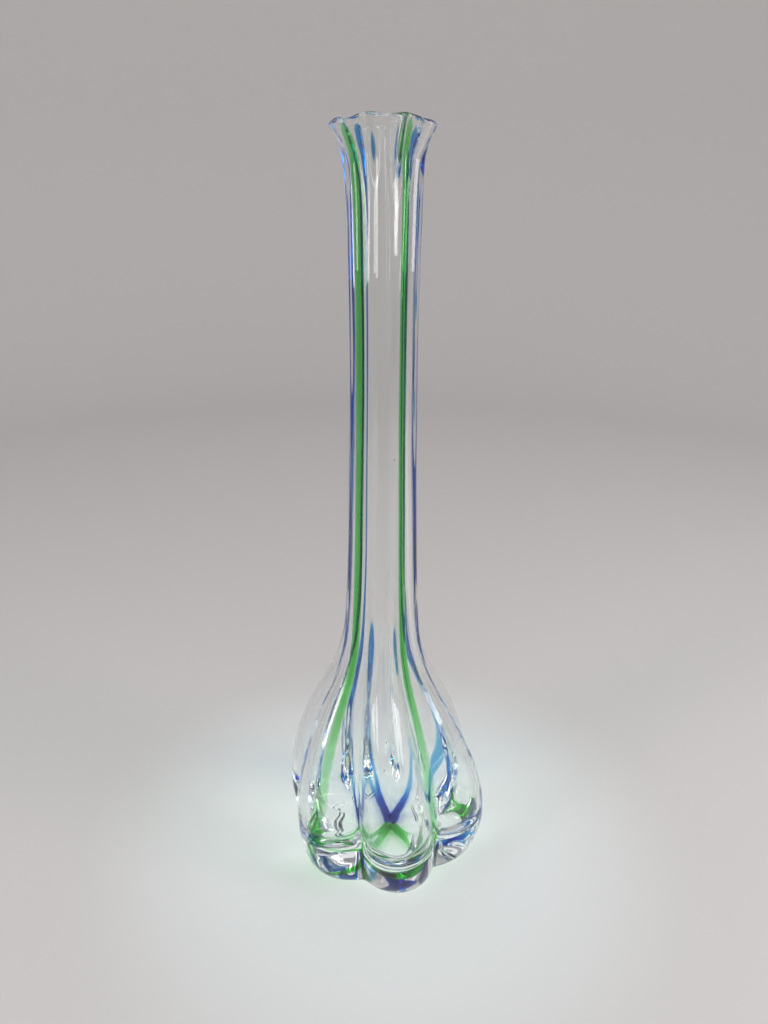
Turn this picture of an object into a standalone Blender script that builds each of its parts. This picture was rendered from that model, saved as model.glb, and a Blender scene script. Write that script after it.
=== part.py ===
"""A hand blown vase: a clear glass bottle with six lobes, and four coloured canes let into its outer wall.

The vase stands on its flat ground base. The origin is the middle of that base, +Z is up and -Y is the front.
An azimuth is an angle about +Z from the front, positive towards +X.
"""

import math

import bmesh
import bpy

MM = 0.001

# The outer profile along the crest of a lobe, from the base to the lip: (height, radius) in mm.
PROFILE = [
    (0, 30.0),
    (1.5, 40.0),
    (4, 47.5),
    (10, 53.0),
    (20, 56.8),
    (35, 59.2),
    (48, 58.9),
    (64, 55.8),
    (80, 50.4),
    (95, 43.4),
    (107, 37.0),
    (120, 30.0),
    (131, 25.8),
    (145, 22.4),
    (165, 20.6),
    (210, 18.8),
    (300, 17.4),
    (360, 18.0),
    (384, 19.2),
    (393, 21.8),
    (399, 24.8),
]

# How far the valley between two lobes lies in from the crest, as a share of the radius: (height, share).
LOBES = 6
LOBE_DEPTH = [
    (0, 0.12),
    (10, 0.19),
    (35, 0.28),
    (66, 0.31),
    (90, 0.28),
    (115, 0.22),
    (150, 0.16),
    (200, 0.13),
    (370, 0.13),
    (398, 0.20),
]
# The azimuth of the front lobe's crest. The form is a little twisted: (height, degrees).
FRONT_LOBE = [(0, 13.0), (25, 12.0), (66, 8.0), (150, 3.0), (330, 3.0), (396, 7.0)]
# The form leans to one side at the shoulder and comes back up the neck: (height, mm towards +X).
LEAN = [(0, 0.0), (20, 0.0), (120, -3.0), (300, -3.3), (360, -3.5), (399, -4.6)]
OUTER_CREASE = 0.16
INNER_CREASE = 0.45

# Glass thickness and the hollow, in mm.
BODY_WALL = 3.2
NECK_WALL = 4.0
LIP_WALL = 2.8
VALLEY_WALL = 1.15
FLOOR_HEIGHT = 13.0
BOWL_HEIGHT = 42.0
BOWL_FULLNESS = 0.9
SHOULDER_TOP = 144.0
NECK_TOP = 363.0
LIP_HEIGHT = 399.0
CREST_DROOP = 2.2
FRONT_RISE = 2.6
FRONT_SPREAD = 34.0

# Glass colours, and the look that all of it shares.
CLEAR = (0.88, 0.95, 0.93, 1.0)
GREEN = (0.045, 0.30, 0.06, 1.0)
BLUE = (0.012, 0.07, 0.48, 1.0)
GLASS_ROUGHNESS = 0.03
GLASS_IOR = 1.5
GLASS_TRANSMISSION = 0.9

# Canes: (name, azimuth in the body, azimuth in the neck, colour).
CANES = [
    ("green_cane_left", -41.0, -45.0, GREEN),
    ("green_cane_right", 41.0, 39.0, GREEN),
    ("blue_cane_right", 139.0, 136.0, BLUE),
    ("blue_cane_left", -151.0, -142.0, BLUE),
]
CANE_RADIUS = 1.25
CANE_DEPTH = 1.15
CANE_GAP = 0.3
CANE_TOP = 393.0
CANE_TURN = 16.0
HEART_HEIGHT = 8.0
HEART_RADIUS = 1.8
CANE_BEND = 0.8

# Fineness of the meshes. The weight puts more rings where the profile turns outwards.
STEPS_ROUND = 60
OUTER_RINGS = 31
PROFILE_SAMPLES = 1600
RADIUS_WEIGHT = 2.4
MOUTH_RINGS = 6
NECK_RINGS = 9
BELLY_RINGS = 9
BOWL_RINGS = 7
LIP_STEPS = 3
RING_STEP = 10.0
CANE_WALL_POINTS = 26
CANE_BASE_POINTS = 8


def clear_scene():
    for item in list(bpy.data.objects):
        bpy.data.objects.remove(item)


def collection(name):
    made = bpy.data.collections.new(name)
    bpy.context.scene.collection.children.link(made)
    return made


def glass(name, colour):
    """A fire polished glass with the given tint."""
    material = bpy.data.materials.new(name)
    material.use_nodes = True
    shader = material.node_tree.nodes["Principled BSDF"]
    shader.inputs["Base Color"].default_value = colour
    shader.inputs["Roughness"].default_value = GLASS_ROUGHNESS
    shader.inputs["IOR"].default_value = GLASS_IOR
    shader.inputs["Transmission Weight"].default_value = GLASS_TRANSMISSION
    return material


def ease(value, start, end):
    """0 before start, 1 after end, and a smooth rise between them."""
    t = min(max((value - start) / (end - start), 0.0), 1.0)
    return t * t * (3 - 2 * t)


def slopes(points):
    """A slope at each point that keeps the curve from overshooting between points."""
    steps = [(b[0] - a[0], (b[1] - a[1]) / (b[0] - a[0])) for a, b in zip(points, points[1:])]
    found = [steps[0][1]]
    for (h0, d0), (h1, d1) in zip(steps, steps[1:]):
        w0 = 2 * h1 + h0
        w1 = h1 + 2 * h0
        found.append((w0 + w1) / (w0 / d0 + w1 / d1) if d0 * d1 > 0 else 0.0)
    found.append(steps[-1][1])
    return found


def along(points, z):
    """A smooth curve through the points, read at a height."""
    z = min(max(z, points[0][0]), points[-1][0])
    k = max(i for i in range(len(points) - 1) if points[i][0] <= z)
    leave, arrive = slopes(points)[k : k + 2]
    (z0, v0), (z1, v1) = points[k : k + 2]
    h = z1 - z0
    t = (z - z0) / h
    return v0 + (v1 - v0) * t * t * (3 - 2 * t) + h * t * (1 - t) * ((1 - t) * leave - t * arrive)


def wall(z):
    """The thickness of the glass at a crest, in mm."""
    return BODY_WALL + (NECK_WALL - BODY_WALL) * ease(z, 80, 150) + (LIP_WALL - NECK_WALL) * ease(z, 370, 397)


def lobe_angle(z, azimuth):
    """How far an azimuth is from the nearest lobe's crest, in radians."""
    sector = 360 / LOBES
    off = (azimuth - along(FRONT_LOBE, z) + sector / 2) % sector - sector / 2
    return math.radians(abs(off))


def lobe_share(angle, depth, crease):
    """The radius of a ring of equal round lobes as a share of its crest radius, with rounded valleys."""
    half = math.pi / LOBES
    round_off = crease * half
    to_valley = (math.hypot(half - angle, round_off) - round_off) / (math.hypot(half, round_off) - round_off)
    bent = half * (1 - to_valley)
    valley = 1 - depth
    middle = (1 - valley * valley) / (2 * (1 - valley * math.cos(half)))
    reach = (1 - middle) ** 2 - (middle * math.sin(bent)) ** 2
    return middle * math.cos(bent) + math.sqrt(max(reach, 0.0))


def outer_radius(z, azimuth):
    return along(PROFILE, z) * lobe_share(lobe_angle(z, azimuth), along(LOBE_DEPTH, z), OUTER_CREASE)


def hollow_radius(z, azimuth):
    """The radius of the hollow above its bowl."""
    crest = along(PROFILE, z) - wall(z)
    valley = along(PROFILE, z) * (1 - along(LOBE_DEPTH, z)) - VALLEY_WALL * wall(z)
    return crest * lobe_share(lobe_angle(z, azimuth), 1 - valley / crest, INNER_CREASE)


def bowl_point(angle, azimuth):
    """(radius, height) in the bowl under the hollow: angle 0 is its brim, a quarter turn the middle of the floor."""
    brim = hollow_radius(BOWL_HEIGHT, azimuth)
    height = BOWL_HEIGHT - (BOWL_HEIGHT - FLOOR_HEIGHT) * math.sin(angle)
    return brim * max(math.cos(angle), 0.0) ** BOWL_FULLNESS, height


def rim_shift(z, azimuth):
    """How far the wavy mouth lifts the glass: crests droop, and the front lobe stands up."""
    crest = math.cos(lobe_angle(z, azimuth) * LOBES / 2) ** 2
    off_front = (azimuth - along(FRONT_LOBE, z) + 180) % 360 - 180
    front = math.exp(-((off_front / FRONT_SPREAD) ** 2))
    return ease(z, 380, LIP_HEIGHT) * (FRONT_RISE * front - CREST_DROOP * crest)


def place(radius, azimuth, z):
    """A point in metres from a radius about the leaning middle line, an azimuth and a height in mm."""
    turn = math.radians(azimuth)
    return ((radius * math.sin(turn) + along(LEAN, z)) * MM, -radius * math.cos(turn) * MM, z * MM)


def spread(start, end, count):
    return [start + (end - start) * i / (count - 1) for i in range(count)]


def profile_heights(count):
    """Heights evenly spaced along the outer profile, so that the curved foot and lip get enough rings."""
    fine = spread(PROFILE[0][0], PROFILE[-1][0], PROFILE_SAMPLES)
    run = [0.0]
    for a, b in zip(fine, fine[1:]):
        run.append(run[-1] + math.hypot(b - a, RADIUS_WEIGHT * (along(PROFILE, b) - along(PROFILE, a))))
    heights = []
    k = 0
    for target in spread(0, run[-1], count):
        while k < len(fine) - 1 and run[k] < target:
            k += 1
        heights.append(fine[k])
    return heights


def vessel_rings():
    """Rings of points from the edge of the base, up the outside, over the lip and down to the hollow's floor."""
    turns = [360 * i / STEPS_ROUND for i in range(STEPS_ROUND)]
    rings = []
    for z in profile_heights(OUTER_RINGS):
        rings.append([place(outer_radius(z, a), a, z + rim_shift(z, a)) for a in turns])
    for step in range(1, LIP_STEPS):
        angle = math.pi * step / LIP_STEPS
        ring = []
        for a in turns:
            outer = outer_radius(LIP_HEIGHT, a)
            half = (outer - hollow_radius(LIP_HEIGHT, a)) / 2
            height = LIP_HEIGHT + rim_shift(LIP_HEIGHT, a) + LIP_WALL / 2 * math.sin(angle)
            ring.append(place(outer - half * (1 - math.cos(angle)), a, height))
        rings.append(ring)
    inside = spread(LIP_HEIGHT, NECK_TOP + RING_STEP, MOUTH_RINGS)
    inside += spread(NECK_TOP - RING_STEP, SHOULDER_TOP + RING_STEP, NECK_RINGS)
    inside += spread(SHOULDER_TOP - RING_STEP, BOWL_HEIGHT, BELLY_RINGS)
    for z in inside:
        rings.append([place(hollow_radius(z, a), a, z + rim_shift(z, a)) for a in turns])
    for step in range(1, BOWL_RINGS):
        ring = []
        for a in turns:
            radius, z = bowl_point(math.pi / 2 * step / BOWL_RINGS, a)
            ring.append(place(radius, a, z))
        rings.append(ring)
    return rings


def make_vessel(home):
    """One closed body: the base, the outer wall, the rounded lip, the hollow and its floor."""
    mesh = bmesh.new()
    rings = [[mesh.verts.new(point) for point in ring] for ring in vessel_rings()]
    for low, high in zip(rings, rings[1:]):
        for i in range(STEPS_ROUND):
            j = (i + 1) % STEPS_ROUND
            mesh.faces.new((low[i], low[j], high[j], high[i]))
    base_middle = mesh.verts.new((0, 0, 0))
    floor_middle = mesh.verts.new((0, 0, FLOOR_HEIGHT * MM))
    for i in range(STEPS_ROUND):
        j = (i + 1) % STEPS_ROUND
        mesh.faces.new((base_middle, rings[0][j], rings[0][i]))
        mesh.faces.new((floor_middle, rings[-1][i], rings[-1][j]))
    data = bpy.data.meshes.new("clear_vessel")
    mesh.to_mesh(data)
    mesh.free()
    data.shade_smooth()
    data.materials.append(glass("clear_glass", CLEAR))
    vessel = bpy.data.objects.new("clear_vessel", data)
    home.objects.link(vessel)
    return vessel


def cane_route(body_azimuth, neck_azimuth):
    """Points along a cane, from the mouth down the outer wall and through the thick base to its heart."""
    route = []
    for z in spread(CANE_TOP, CANE_TURN, CANE_WALL_POINTS):
        azimuth = body_azimuth + (neck_azimuth - body_azimuth) * ease(z, 60, 160)
        route.append(place(outer_radius(z, azimuth) - CANE_DEPTH, azimuth, z))
    turn_radius = outer_radius(CANE_TURN, body_azimuth) - CANE_DEPTH
    end_angle = math.acos((HEART_RADIUS / turn_radius) ** (1 / CANE_BEND))
    for angle in spread(0, end_angle, CANE_BASE_POINTS + 1)[1:]:
        radius = turn_radius * math.cos(angle) ** CANE_BEND
        route.append(place(radius, body_azimuth, CANE_TURN - (CANE_TURN - HEART_HEIGHT) * math.sin(angle)))
    return route


def tube(name, route, radius, home):
    """A round bar along a route."""
    data = bpy.data.curves.new(name, "CURVE")
    data.dimensions = "3D"
    data.bevel_depth = radius * MM
    data.bevel_resolution = 1
    data.use_fill_caps = True
    spline = data.splines.new("POLY")
    spline.points.add(len(route) - 1)
    for point, where in zip(spline.points, route):
        point.co = (*where, 1.0)
    made = bpy.data.objects.new(name, data)
    home.objects.link(made)
    return made


def tube_cutter(name, route, radius, home):
    """A mesh copy of a round bar, closed at its caps, for a Boolean."""
    curve = tube(name + "_curve", route, radius, home)
    graph = bpy.context.evaluated_depsgraph_get()
    data = bpy.data.meshes.new_from_object(curve.evaluated_get(graph))
    mesh = bmesh.new()
    mesh.from_mesh(data)
    bmesh.ops.remove_doubles(mesh, verts=mesh.verts, dist=1e-6)
    mesh.to_mesh(data)
    mesh.free()
    cutter = bpy.data.objects.new(name, data)
    home.objects.link(cutter)
    cutter.matrix_world = curve.matrix_world
    bpy.data.objects.remove(curve)
    cutter.hide_render = True
    cutter.display_type = "WIRE"
    return cutter


def make_canes(vessel, home, cutters):
    """Each cane, and the channel in the vessel's outer wall and base that it lies in."""
    for name, body_azimuth, neck_azimuth, colour in CANES:
        route = cane_route(body_azimuth, neck_azimuth)
        cane = tube(name, route, CANE_RADIUS, home)
        cane.data.materials.append(glass(name + "_glass", colour))
        channel = tube_cutter(name + "_channel", route, CANE_RADIUS + CANE_GAP, cutters)
        cut = vessel.modifiers.new(name + "_channel", "BOOLEAN")
        cut.operation = "DIFFERENCE"
        cut.solver = "EXACT"
        cut.object = channel


def main():
    clear_scene()
    home = collection("blown_glass_vase")
    cutters = collection("channel_cutters")
    vessel = make_vessel(home)
    make_canes(vessel, home, cutters)


main()
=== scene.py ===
"""The finished look of a hand blown vase: a clear six-lobed bottle with two green and two blue glass canes.

Lengths are in mm, except in the studio. Azimuths are in degrees about +Z from the front, positive towards +X.
"""

import math

import bmesh
import bpy
from mathutils import Matrix, Vector


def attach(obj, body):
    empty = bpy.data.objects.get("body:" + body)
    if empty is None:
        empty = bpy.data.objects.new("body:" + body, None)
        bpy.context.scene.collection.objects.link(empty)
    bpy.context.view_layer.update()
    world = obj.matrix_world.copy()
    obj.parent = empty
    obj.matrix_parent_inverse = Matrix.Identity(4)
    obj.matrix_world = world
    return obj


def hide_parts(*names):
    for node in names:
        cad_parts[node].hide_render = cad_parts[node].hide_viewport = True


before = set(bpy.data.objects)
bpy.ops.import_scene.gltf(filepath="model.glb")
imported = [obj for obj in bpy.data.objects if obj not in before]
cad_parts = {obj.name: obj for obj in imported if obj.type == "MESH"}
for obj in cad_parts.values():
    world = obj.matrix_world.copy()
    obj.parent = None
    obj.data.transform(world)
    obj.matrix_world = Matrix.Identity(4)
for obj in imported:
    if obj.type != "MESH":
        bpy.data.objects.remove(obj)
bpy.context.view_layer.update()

MM = 0.001

# The outer profile along the crest of a lobe, from the base to the lip: (height, radius).
PROFILE = [
    (0, 30.0),
    (1.5, 40.0),
    (4, 47.5),
    (10, 53.0),
    (20, 56.8),
    (35, 59.2),
    (48, 58.9),
    (64, 55.8),
    (80, 50.4),
    (95, 43.4),
    (107, 37.0),
    (120, 30.0),
    (131, 25.8),
    (145, 22.4),
    (165, 20.6),
    (210, 18.8),
    (300, 17.4),
    (360, 18.0),
    (384, 19.2),
    (393, 21.8),
    (399, 24.8),
]

# How far the valley between two lobes lies in from the crest, as a share of the radius: (height, share).
LOBES = 6
LOBE_DEPTH = [
    (0, 0.12),
    (10, 0.19),
    (35, 0.28),
    (66, 0.31),
    (90, 0.28),
    (115, 0.22),
    (150, 0.16),
    (200, 0.13),
    (370, 0.13),
    (398, 0.20),
]
# The azimuth of the front lobe's crest. The form is a little twisted: (height, degrees).
FRONT_LOBE = [(0, 13.0), (25, 12.0), (66, 8.0), (150, 3.0), (330, 3.0), (396, 7.0)]
# The form leans to one side at the shoulder and comes back up the neck: (height, mm towards +X).
LEAN = [(0, 0.0), (20, 0.0), (120, -3.0), (300, -3.3), (360, -3.5), (399, -4.6)]
# How softly the valleys are rounded, as a share of half a lobe.
OUTER_CREASE = 0.16
INNER_CREASE = 0.45

# The thickness of the wall at a crest, and the heights over which it changes. A valley's is a multiple of it.
BODY_WALL = 3.2
NECK_WALL = 4.0
LIP_WALL = 2.8
VALLEY_WALL = 1.15
SHOULDER = (80, 150)
LIP_THINS = (370, 397)
# In the neck the wall is thicker at the crests than in the valleys.
NECK_CREST_WALL = 4.6
NECK_VALLEY_WALL = 3.5
NECK_BEGINS = (120, 200)
NECK_ENDS = (365, 392)

# The bowl at the bottom of the hollow, and the wavy mouth.
FLOOR_HEIGHT = 13.0
BOWL_HEIGHT = 42.0
BOWL_FULLNESS = 0.9
LIP_HEIGHT = 399.0
MOUTH_BEGINS = 380
CREST_DROOP = 2.2
FRONT_RISE = 2.6
FRONT_SPREAD = 34.0

# Canes: (name, azimuths at the heart, the foot, the body and the neck, how broad it is, material slot).
CANES = [
    ("green_cane_left", (-33.0, -48.0, -41.0, -45.0), 1.25, "green_glass"),
    ("green_cane_right", (47.0, 41.0, 41.0, 39.0), 1.2, "green_glass"),
    ("blue_cane_right", (139.0, 139.0, 139.0, 136.0), 1.35, "blue_glass"),
    ("blue_cane_left", (-151.0, -151.0, -151.0, -142.0), 1.35, "blue_glass"),
]
# A cane changes azimuth between these heights.
CANE_FOOT_SPAN = (10, 60)
CANE_NECK_SPAN = (60, 160)
# Half the width and half the thickness of a cane at a height. It is stretched thin over the widest part.
CANE_WIDTH = [(13, 2.9), (45, 3.0), (90, 2.3), (150, 1.7), (396, 1.7)]
CANE_THICKNESS = [(13, 0.5), (45, 0.4), (75, 0.4), (105, 0.8), (150, 1.3), (380, 1.2), (399, 0.8)]
CANE_DEPTH = [(0, 2.0), (380, 2.0), (399, 1.5)]
CANE_TOP = 399.6
# Where a cane turns in under the bowl, and how sharply.
CANE_TURN = 13.0
CANE_BEND = 0.6
# The heart of the base, where the canes meet. Their ends stop short of its middle by the gap.
HEART_HEIGHT = 6.8
HEART_WIDTH = 4.4
HEART_THICKNESS = 2.6
HEART_GAP = 0.6
# Over which shares of the way in a cane turns, levels out, widens and thickens.
HEART_TURNS = (0, 0.6)
HEART_LEVELS = (0, 0.5)
HEART_WIDENS = (0.2, 1)
HEART_THICKENS = (0.1, 1)
# A cane's ends are rounded over this many rings, from this share of the first one.
CANE_END_RINGS = 3
CANE_TIP = 0.4

# Fineness of the meshes.
STEPS_ROUND = 240
OUTER_RINGS = 170
PROFILE_SAMPLES = 1600
RADIUS_WEIGHT = 2.4
LIP_STEPS = 10
BASE_SHARES = (0.35, 0.7, 0.9)
HOLLOW_SPANS = [(LIP_HEIGHT, 372, 20), (370, 150, 56), (147, BOWL_HEIGHT, 50)]
BOWL_RINGS = 44
CANE_WALL_POINTS = 220
CANE_BASE_POINTS = 50
CANE_SIDES = 16

# Slow unevenness of the hand worked surface: its height, and waves of (count round, rise per radian, start).
RIPPLE = 0.05
RIPPLE_WAVES = [(3, 17, 0), (5, -11, 1.3), (2, 29, 4.1)]
RIPPLE_BEGINS = (2, 20)
INNER_RIPPLE_TURN = 40

# Small air bubbles: (azimuth, height, radius), and how much taller than wide they are.
BUBBLES = [
    (4, 101, 0.45),
    (-6, 92, 0.6),
    (2, 88, 0.4),
    (14, 71, 0.3),
    (-30, 60, 0.35),
    (33, 84, 0.3),
    (70, 66, 0.4),
    (120, 78, 0.45),
    (170, 58, 0.4),
    (-80, 72, 0.35),
    (-120, 90, 0.4),
    (-160, 48, 0.3),
    (20, 250, 0.3),
    (-100, 205, 0.3),
    (95, 310, 0.3),
]
BUBBLE_STRETCH = 1.7
BUBBLE_FINENESS = 3

# Glass: clear glass bends light, and fused coloured glass only takes some of it away.
CLEAR_COLOUR = (0.985, 0.995, 0.992, 1.0)
CLEAR_SHADOW = (0.87, 0.90, 0.89, 1.0)
CLEAR_IOR = 1.5
WHITE = (1.0, 1.0, 1.0, 1.0)
FUSED_IOR = 1.01
GREEN_TINT = (0.02, 0.80, 0.06, 1.0)
GREEN_DENSITY = 820.0
BLUE_TINT = (0.0, 0.66, 0.905, 1.0)
BLUE_DENSITY = 2000.0

# The studio, in metres: a pale floor that is flat under the vase and curves up all round.
STAGE_RINGS = (0.1, 0.4)
STAGE_FLAT = 1.0
STAGE_CURVE = 0.5
STAGE_TOP = 1.3
STAGE_STEPS = 96
STAGE_BENDS = 16
STAGE_DROP = 0.0003
STAGE_ROUGHNESS = 0.6
# The floor's colour near the vase and far from it: (distance, colour).
STAGE_NEAR = (0.085, (0.73, 0.75, 0.745, 1))
STAGE_FAR = (0.20, (0.63, 0.605, 0.595, 1))
# Soft lights: (name, place, width, height, power, what it points at).
LIGHTS = [
    ("window", (0.90, -0.35, 0.62), 0.45, 0.9, 7.0, (0, 0, 0.2)),
    ("strip", (-0.75, -0.55, 0.60), 0.22, 0.9, 4.0, (0, 0, 0.22)),
    ("overhead", (0.0, 0.1, 1.5), 2.2, 2.2, 8.6, (0, 0, 0)),
]
AIR_COLOUR = (0.90, 0.95, 1.0, 1.0)
AIR_STRENGTH = 0.25

# The camera stands a little above the mouth and looks down on the vase.
CAMERA_PLACE = (-0.0023, -0.3903, 0.3804)
CAMERA_PITCH = math.radians(22.76)
CAMERA_ROLL = math.radians(-0.52)
CAMERA_LENS = 28.83
CAMERA_SENSOR = 36.0
CAMERA_NEAREST = 0.01

# Light passes many surfaces on its way through the thick foot.
BOUNCES = 64


def slopes(points):
    """A slope at each point that keeps the curve from overshooting between points."""
    steps = [(b[0] - a[0], (b[1] - a[1]) / (b[0] - a[0])) for a, b in zip(points, points[1:])]
    found = [steps[0][1]]
    for (h0, d0), (h1, d1) in zip(steps, steps[1:]):
        w0 = 2 * h1 + h0
        w1 = h1 + 2 * h0
        found.append((w0 + w1) / (w0 / d0 + w1 / d1) if d0 * d1 > 0 else 0.0)
    found.append(steps[-1][1])
    return found


class Curve:
    """A smooth curve through points, read at a height."""

    def __init__(self, points):
        self.points = points
        self.slopes = slopes(points)

    def at(self, z):
        points = self.points
        z = min(max(z, points[0][0]), points[-1][0])
        k = max(i for i in range(len(points) - 1) if points[i][0] <= z)
        leave, arrive = self.slopes[k : k + 2]
        (z0, v0), (z1, v1) = points[k : k + 2]
        h = z1 - z0
        t = (z - z0) / h
        return v0 + (v1 - v0) * t * t * (3 - 2 * t) + h * t * (1 - t) * ((1 - t) * leave - t * arrive)


profile = Curve(PROFILE)
lobe_depth = Curve(LOBE_DEPTH)
front_lobe = Curve(FRONT_LOBE)
lean = Curve(LEAN)
cane_width = Curve(CANE_WIDTH)
cane_thickness = Curve(CANE_THICKNESS)
cane_depth = Curve(CANE_DEPTH)


def ease(value, start, end):
    """0 before start, 1 after end, and a smooth rise between them."""
    t = min(max((value - start) / (end - start), 0.0), 1.0)
    return t * t * (3 - 2 * t)


def spread(start, end, count):
    """Evenly spaced numbers from start to end."""
    return [start + (end - start) * i / (count - 1) for i in range(count)]


def wall(z):
    """The thickness of the glass at a crest."""
    return (
        BODY_WALL
        + (NECK_WALL - BODY_WALL) * ease(z, *SHOULDER)
        + (LIP_WALL - NECK_WALL) * ease(z, *LIP_THINS)
    )


def lobe_share(angle, depth, crease):
    """The radius of a ring of equal round lobes as a share of its crest radius, with rounded valleys."""
    half = math.pi / LOBES
    round_off = crease * half
    to_valley = (math.hypot(half - angle, round_off) - round_off) / (math.hypot(half, round_off) - round_off)
    bent = half * (1 - to_valley)
    valley = 1 - depth
    middle = (1 - valley * valley) / (2 * (1 - valley * math.cos(half)))
    reach = (1 - middle) ** 2 - (middle * math.sin(bent)) ** 2
    return middle * math.cos(bent) + math.sqrt(max(reach, 0.0))


class Level:
    """The form at one height, read at any azimuth."""

    def __init__(self, z):
        self.z = z
        self.crest = profile.at(z)
        self.depth = lobe_depth.at(z)
        self.front = front_lobe.at(z)
        self.lean = lean.at(z)
        in_neck = ease(z, *NECK_BEGINS) * (1 - ease(z, *NECK_ENDS))
        thick = wall(z)
        valley_wall = VALLEY_WALL * thick
        valley_wall += in_neck * (NECK_VALLEY_WALL - valley_wall)
        thick += in_neck * (NECK_CREST_WALL - thick)
        valley = self.crest * (1 - self.depth) - valley_wall
        self.inner_crest = self.crest - thick
        self.inner_depth = 1 - valley / self.inner_crest

    def lobe_angle(self, azimuth):
        """How far an azimuth is from the nearest lobe's crest, in radians."""
        sector = 360 / LOBES
        off = (azimuth - self.front + sector / 2) % sector - sector / 2
        return math.radians(abs(off))

    def outer(self, azimuth):
        return self.crest * lobe_share(self.lobe_angle(azimuth), self.depth, OUTER_CREASE)

    def inner(self, azimuth):
        return self.inner_crest * lobe_share(self.lobe_angle(azimuth), self.inner_depth, INNER_CREASE)

    def skew(self, azimuth):
        """How far the surface is turned off the round, as on the side of a lobe, in degrees."""
        before, after = (self.outer(azimuth + step) for step in (-1, 1))
        return math.degrees(math.atan2(before - after, math.radians(2) * self.outer(azimuth)))

    def rim_shift(self, azimuth):
        """How far the wavy mouth lifts the glass: crests droop, and the front lobe stands up."""
        crest = math.cos(self.lobe_angle(azimuth) * LOBES / 2) ** 2
        off_front = (azimuth - self.front + 180) % 360 - 180
        front = math.exp(-((off_front / FRONT_SPREAD) ** 2))
        return ease(self.z, MOUTH_BEGINS, LIP_HEIGHT) * (FRONT_RISE * front - CREST_DROOP * crest)

    def place(self, radius, azimuth, height):
        """A point in metres from a radius about this level's middle, an azimuth and a height."""
        turn = math.radians(azimuth)
        return Vector((radius * math.sin(turn) + self.lean, -radius * math.cos(turn), height)) * MM


def ripple(azimuth, z):
    """The slow unevenness left by the tools, in mm."""
    turn = math.radians(azimuth)
    waves = sum(math.sin(count * turn + z / rise + start) for count, rise, start in RIPPLE_WAVES)
    return RIPPLE * waves * ease(z, *RIPPLE_BEGINS)


def inner_radius(level, azimuth):
    """The radius of the hollow with its own unevenness."""
    return level.inner(azimuth) - ripple(azimuth + INNER_RIPPLE_TURN, level.z)


def profile_heights(count):
    """Heights evenly spaced along the outer profile, so that the curved foot and lip get enough rings."""
    fine = spread(PROFILE[0][0], PROFILE[-1][0], PROFILE_SAMPLES)
    radii = [profile.at(z) for z in fine]
    run = [0.0]
    for k in range(1, len(fine)):
        run.append(run[-1] + math.hypot(fine[k] - fine[k - 1], RADIUS_WEIGHT * (radii[k] - radii[k - 1])))
    heights = []
    k = 0
    for target in spread(0, run[-1], count):
        while k < len(fine) - 1 and run[k] < target:
            k += 1
        heights.append(fine[k])
    return heights


def vessel_rings():
    """Rings of points from the flat base, up the outside, over the lip and down the inside to the floor."""
    turns = [360 * i / STEPS_ROUND for i in range(STEPS_ROUND)]
    rings = []
    foot = Level(0)
    for share in BASE_SHARES:
        rings.append([foot.place(share * foot.outer(a), a, 0) for a in turns])
    for z in profile_heights(OUTER_RINGS):
        level = Level(z)
        rings.append([level.place(level.outer(a) + ripple(a, z), a, z + level.rim_shift(a)) for a in turns])
    lip = Level(LIP_HEIGHT)
    for step in range(1, LIP_STEPS):
        angle = math.pi * step / LIP_STEPS
        ring = []
        for a in turns:
            half = (lip.outer(a) - lip.inner(a)) / 2
            height = LIP_HEIGHT + lip.rim_shift(a) + LIP_WALL / 2 * math.sin(angle)
            radius = lip.outer(a) + ripple(a, LIP_HEIGHT) - half * (1 - math.cos(angle))
            ring.append(lip.place(radius, a, height))
        rings.append(ring)
    for span in HOLLOW_SPANS:
        for z in spread(*span):
            level = Level(z)
            rings.append([level.place(inner_radius(level, a), a, z + level.rim_shift(a)) for a in turns])
    brim = Level(BOWL_HEIGHT)
    for step in range(1, BOWL_RINGS):
        angle = math.pi / 2 * step / BOWL_RINGS
        share = math.cos(angle) ** BOWL_FULLNESS
        z = BOWL_HEIGHT - (BOWL_HEIGHT - FLOOR_HEIGHT) * math.sin(angle)
        level = Level(z)
        rings.append([level.place(share * inner_radius(brim, a), a, z) for a in turns])
    return rings


def add_bubbles(mesh):
    """Air bubbles caught in the wall. Their faces look into the air, away from the glass."""
    for azimuth, z, radius in BUBBLES:
        level = Level(z)
        middle = level.place((level.outer(azimuth) + level.inner(azimuth)) / 2, azimuth, z)
        shape = Matrix.Translation(middle) @ Matrix.Diagonal((1, 1, BUBBLE_STRETCH, 1))
        made = bmesh.ops.create_icosphere(
            mesh, subdivisions=BUBBLE_FINENESS, radius=radius * MM, matrix=shape
        )
        faces = {face for vertex in made["verts"] for face in vertex.link_faces}
        bmesh.ops.reverse_faces(mesh, faces=list(faces))


def finished(name, mesh, material, nodes):
    """An object of the vase, smooth shaded, standing for its CAD node."""
    data = bpy.data.meshes.new(name)
    mesh.to_mesh(data)
    mesh.free()
    data.shade_smooth()
    data.materials.append(material)
    made = bpy.data.objects.new(name, data)
    bpy.context.scene.collection.objects.link(made)
    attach(made, "root")
    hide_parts(*nodes)
    return made


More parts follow.
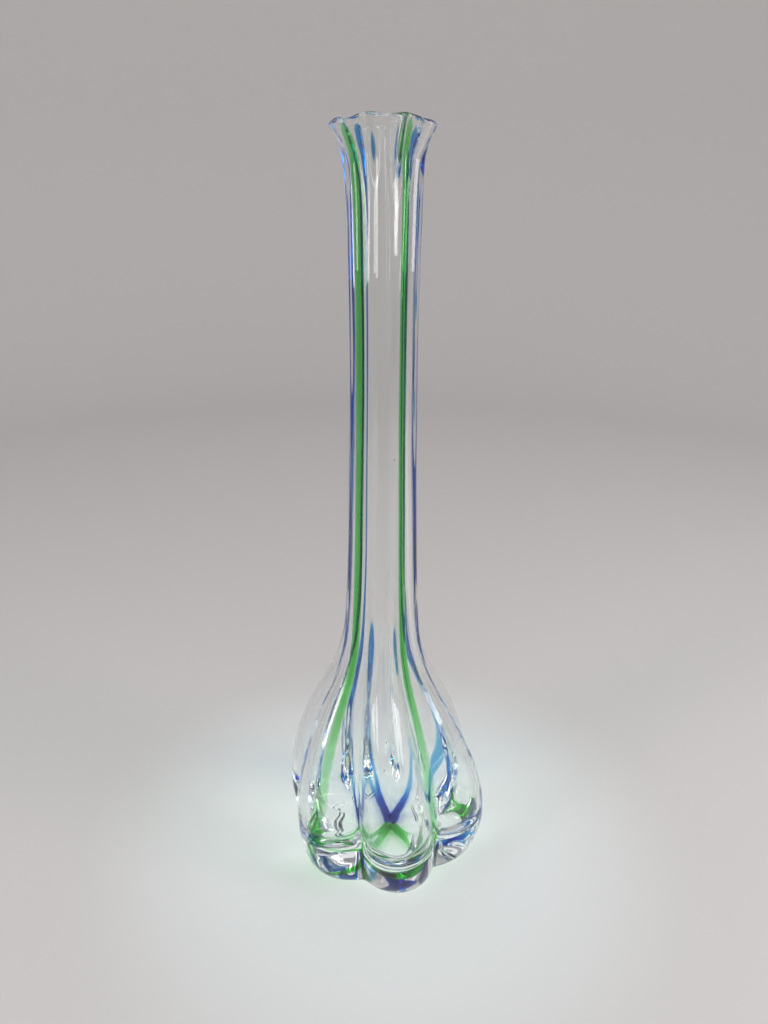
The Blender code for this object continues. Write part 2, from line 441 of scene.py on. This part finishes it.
def make_vessel(material):
    """The clear vessel, closed at the base and open at the mouth, with its bubbles."""
    mesh = bmesh.new()
    rings = [[mesh.verts.new(point) for point in ring] for ring in vessel_rings()]
    for low, high in zip(rings, rings[1:]):
        for i in range(STEPS_ROUND):
            j = (i + 1) % STEPS_ROUND
            mesh.faces.new((low[i], low[j], high[j], high[i]))
    base_middle = mesh.verts.new((0, 0, 0))
    floor_middle = mesh.verts.new((0, 0, FLOOR_HEIGHT * MM))
    for i in range(STEPS_ROUND):
        j = (i + 1) % STEPS_ROUND
        mesh.faces.new((base_middle, rings[0][j], rings[0][i]))
        mesh.faces.new((floor_middle, rings[-1][i], rings[-1][j]))
    add_bubbles(mesh)
    return finished("blown_clear_glass", mesh, material, ["clear_vessel"])


def cane_stations(azimuths, broad):
    """(point, direction across, half width, half thickness) along a cane, from the mouth to the heart."""
    heart, foot, body, neck = azimuths
    stations = []
    for z in spread(CANE_TOP, CANE_TURN, CANE_WALL_POINTS):
        azimuth = foot + (body - foot) * ease(z, *CANE_FOOT_SPAN) + (neck - body) * ease(z, *CANE_NECK_SPAN)
        level = Level(z)
        point = level.place(level.outer(azimuth) - cane_depth.at(z), azimuth, z + level.rim_shift(azimuth))
        across = azimuth + level.skew(azimuth)
        stations.append((point, across, broad * cane_width.at(z), cane_thickness.at(z)))
    turn = Level(CANE_TURN)
    at_turn, _, turn_width, turn_thick = stations[-1]
    turn_azimuth = azimuth
    reach = (at_turn - turn.place(0, 0, CANE_TURN)).length / MM
    for step in range(1, CANE_BASE_POINTS + 1):
        share = step / CANE_BASE_POINTS
        angle = math.acos((1 - share) ** (1 / CANE_BEND))
        z = CANE_TURN - (CANE_TURN - HEART_HEIGHT) * math.sin(angle)
        radius = reach + (HEART_GAP - reach) * share
        azimuth = turn_azimuth + (heart - turn_azimuth) * ease(share, *HEART_TURNS)
        width = turn_width + (HEART_WIDTH - turn_width) * ease(share, *HEART_WIDENS)
        thick = turn_thick + (HEART_THICKNESS - turn_thick) * ease(share, *HEART_THICKENS)
        across = azimuth + turn.skew(turn_azimuth) * (1 - ease(share, *HEART_LEVELS))
        stations.append((Level(z).place(radius, azimuth, z), across, width, thick))
    return stations


def make_cane(name, stations, material):
    """A closed bar of oval section along the stations, with rounded ends."""
    mesh = bmesh.new()
    points = [station[0] for station in stations]
    rings = []
    last = len(points) - 1
    for k, (point, facing, width, thick) in enumerate(stations):
        along = (points[min(k + 1, last)] - points[max(k - 1, 0)]).normalized()
        turn = math.radians(facing)
        across = Vector((math.cos(turn), math.sin(turn), 0))
        out = along.cross(across).normalized()
        end = min(k, last - k)
        taper = math.sin(math.pi / 2 * min((end + CANE_TIP) / CANE_END_RINGS, 1))
        ring = []
        for side in range(CANE_SIDES):
            angle = 2 * math.pi * side / CANE_SIDES
            offset = across * (width * math.cos(angle)) + out * (thick * math.sin(angle))
            ring.append(mesh.verts.new(point + offset * taper * MM))
        rings.append(ring)
    for first, second in zip(rings, rings[1:]):
        for i in range(CANE_SIDES):
            j = (i + 1) % CANE_SIDES
            mesh.faces.new((first[i], first[j], second[j], second[i]))
    mesh.faces.new(list(reversed(rings[0])))
    mesh.faces.new(rings[-1])
    bmesh.ops.recalc_face_normals(mesh, faces=mesh.faces)
    return finished(name + "_glass", mesh, material, [name])


def let_lamps_through(material, colour):
    """Lamps shine through the glass, so that what stands behind it is lit as it is behind real glass."""
    tree = material.node_tree
    path = tree.nodes.new("ShaderNodeLightPath")
    open_glass = tree.nodes.new("ShaderNodeBsdfTransparent")
    open_glass.inputs["Color"].default_value = colour
    mix = tree.nodes.new("ShaderNodeMixShader")
    tree.links.new(path.outputs["Is Shadow Ray"], mix.inputs["Fac"])
    tree.links.new(tree.nodes["Principled BSDF"].outputs["BSDF"], mix.inputs[1])
    tree.links.new(open_glass.outputs["BSDF"], mix.inputs[2])
    tree.links.new(mix.outputs["Shader"], tree.nodes["Material Output"].inputs["Surface"])


def clear_glass():
    """Clear soda glass with a faint cool tint."""
    material = bpy.data.materials.new("clear_glass")
    material.use_nodes = True
    shader = material.node_tree.nodes["Principled BSDF"]
    shader.inputs["Base Color"].default_value = CLEAR_COLOUR
    shader.inputs["Roughness"].default_value = 0.0
    shader.inputs["IOR"].default_value = CLEAR_IOR
    shader.inputs["Transmission Weight"].default_value = 1.0
    let_lamps_through(material, CLEAR_SHADOW)
    return material


def cane_glass(name, colour, density):
    """Coloured glass fused into clear glass: it bends no light, and tints it by the length of the way."""
    material = bpy.data.materials.new(name)
    material.use_nodes = True
    tree = material.node_tree
    shader = tree.nodes["Principled BSDF"]
    shader.inputs["Base Color"].default_value = WHITE
    shader.inputs["Roughness"].default_value = 0.0
    shader.inputs["IOR"].default_value = FUSED_IOR
    shader.inputs["Transmission Weight"].default_value = 1.0
    tint = tree.nodes.new("ShaderNodeVolumeAbsorption")
    tint.inputs["Color"].default_value = colour
    tint.inputs["Density"].default_value = density
    tree.links.new(tint.outputs["Volume"], tree.nodes["Material Output"].inputs["Volume"])
    let_lamps_through(material, WHITE)
    return material


def make_stage():
    """A seamless floor: flat under the vase and curving up into a low wall all round."""
    outline = [(radius, 0.0) for radius in (*STAGE_RINGS, STAGE_FLAT)]
    for step in range(1, STAGE_BENDS + 1):
        angle = math.pi / 2 * step / STAGE_BENDS
        outline.append((STAGE_FLAT + STAGE_CURVE * math.sin(angle), STAGE_CURVE * (1 - math.cos(angle))))
    outline.append((STAGE_FLAT + STAGE_CURVE, STAGE_TOP))
    mesh = bmesh.new()
    rings = []
    for radius, height in outline:
        turns = [2 * math.pi * i / STAGE_STEPS for i in range(STAGE_STEPS)]
        rings.append([mesh.verts.new((radius * math.cos(t), radius * math.sin(t), height)) for t in turns])
    middle = mesh.verts.new((0, 0, 0))
    for i in range(STAGE_STEPS):
        j = (i + 1) % STAGE_STEPS
        mesh.faces.new((middle, rings[0][i], rings[0][j]))
        for inner, outer in zip(rings, rings[1:]):
            mesh.faces.new((inner[i], outer[i], outer[j], inner[j]))
    data = bpy.data.meshes.new("studio_floor")
    mesh.to_mesh(data)
    mesh.free()
    data.shade_smooth()
    floor = bpy.data.objects.new("studio_floor", data)
    bpy.context.scene.collection.objects.link(floor)
    floor.location = (0, 0, -STAGE_DROP)
    material = bpy.data.materials.new("floor")
    material.use_nodes = True
    tree = material.node_tree
    shader = tree.nodes["Principled BSDF"]
    shader.inputs["Roughness"].default_value = STAGE_ROUGHNESS
    where = tree.nodes.new("ShaderNodeTexCoord")
    length = tree.nodes.new("ShaderNodeVectorMath")
    length.operation = "LENGTH"
    ramp = tree.nodes.new("ShaderNodeValToRGB")
    ramp.color_ramp.interpolation = "EASE"
    for element, (distance, colour) in zip(ramp.color_ramp.elements, (STAGE_NEAR, STAGE_FAR)):
        element.position = distance
        element.color = colour
    tree.links.new(where.outputs["Object"], length.inputs[0])
    tree.links.new(length.outputs["Value"], ramp.inputs["Fac"])
    tree.links.new(ramp.outputs["Color"], shader.inputs["Base Color"])
    data.materials.append(material)


def soft_light(name, location, width, height, power, target):
    """A rectangular lamp turned towards the target."""
    light = bpy.data.lights.new(name, "AREA")
    light.shape = "RECTANGLE"
    light.size = width
    light.size_y = height
    light.energy = power
    made = bpy.data.objects.new(name, light)
    made.location = location
    made.rotation_euler = (Vector(target) - Vector(location)).to_track_quat("-Z", "Y").to_euler()
    bpy.context.scene.collection.objects.link(made)


def make_air():
    """The faint light that comes from all round."""
    world = bpy.data.worlds.new("studio")
    bpy.context.scene.world = world
    world.use_nodes = True
    background = world.node_tree.nodes["Background"]
    background.inputs["Color"].default_value = AIR_COLOUR
    background.inputs["Strength"].default_value = AIR_STRENGTH


def make_camera():
    """The camera, turned down by its pitch and a little to one side by its roll."""
    lens = bpy.data.cameras.new("camera")
    lens.lens = CAMERA_LENS
    lens.sensor_width = CAMERA_SENSOR
    lens.clip_start = CAMERA_NEAREST
    camera = bpy.data.objects.new("camera", lens)
    bpy.context.scene.collection.objects.link(camera)
    camera.matrix_world = (
        Matrix.Translation(CAMERA_PLACE)
        @ Matrix.Rotation(math.pi / 2 - CAMERA_PITCH, 4, "X")
        @ Matrix.Rotation(-CAMERA_ROLL, 4, "Z")
    )
    bpy.context.scene.camera = camera


make_vessel(clear_glass())
tints = {
    "green_glass": cane_glass("green_glass", GREEN_TINT, GREEN_DENSITY),
    "blue_glass": cane_glass("blue_glass", BLUE_TINT, BLUE_DENSITY),
}
for cane_name, cane_azimuths, breadth, cane_slot in CANES:
    make_cane(cane_name, cane_stations(cane_azimuths, breadth), tints[cane_slot])

make_stage()
for light in LIGHTS:
    soft_light(*light)
make_air()
make_camera()

scene = bpy.context.scene
scene.view_settings.view_transform = "Standard"
scene.cycles.use_denoising = True
scene.cycles.max_bounces = BOUNCES
scene.cycles.transmission_bounces = BOUNCES
scene.cycles.glossy_bounces = BOUNCES
scene.cycles.transparent_max_bounces = BOUNCES
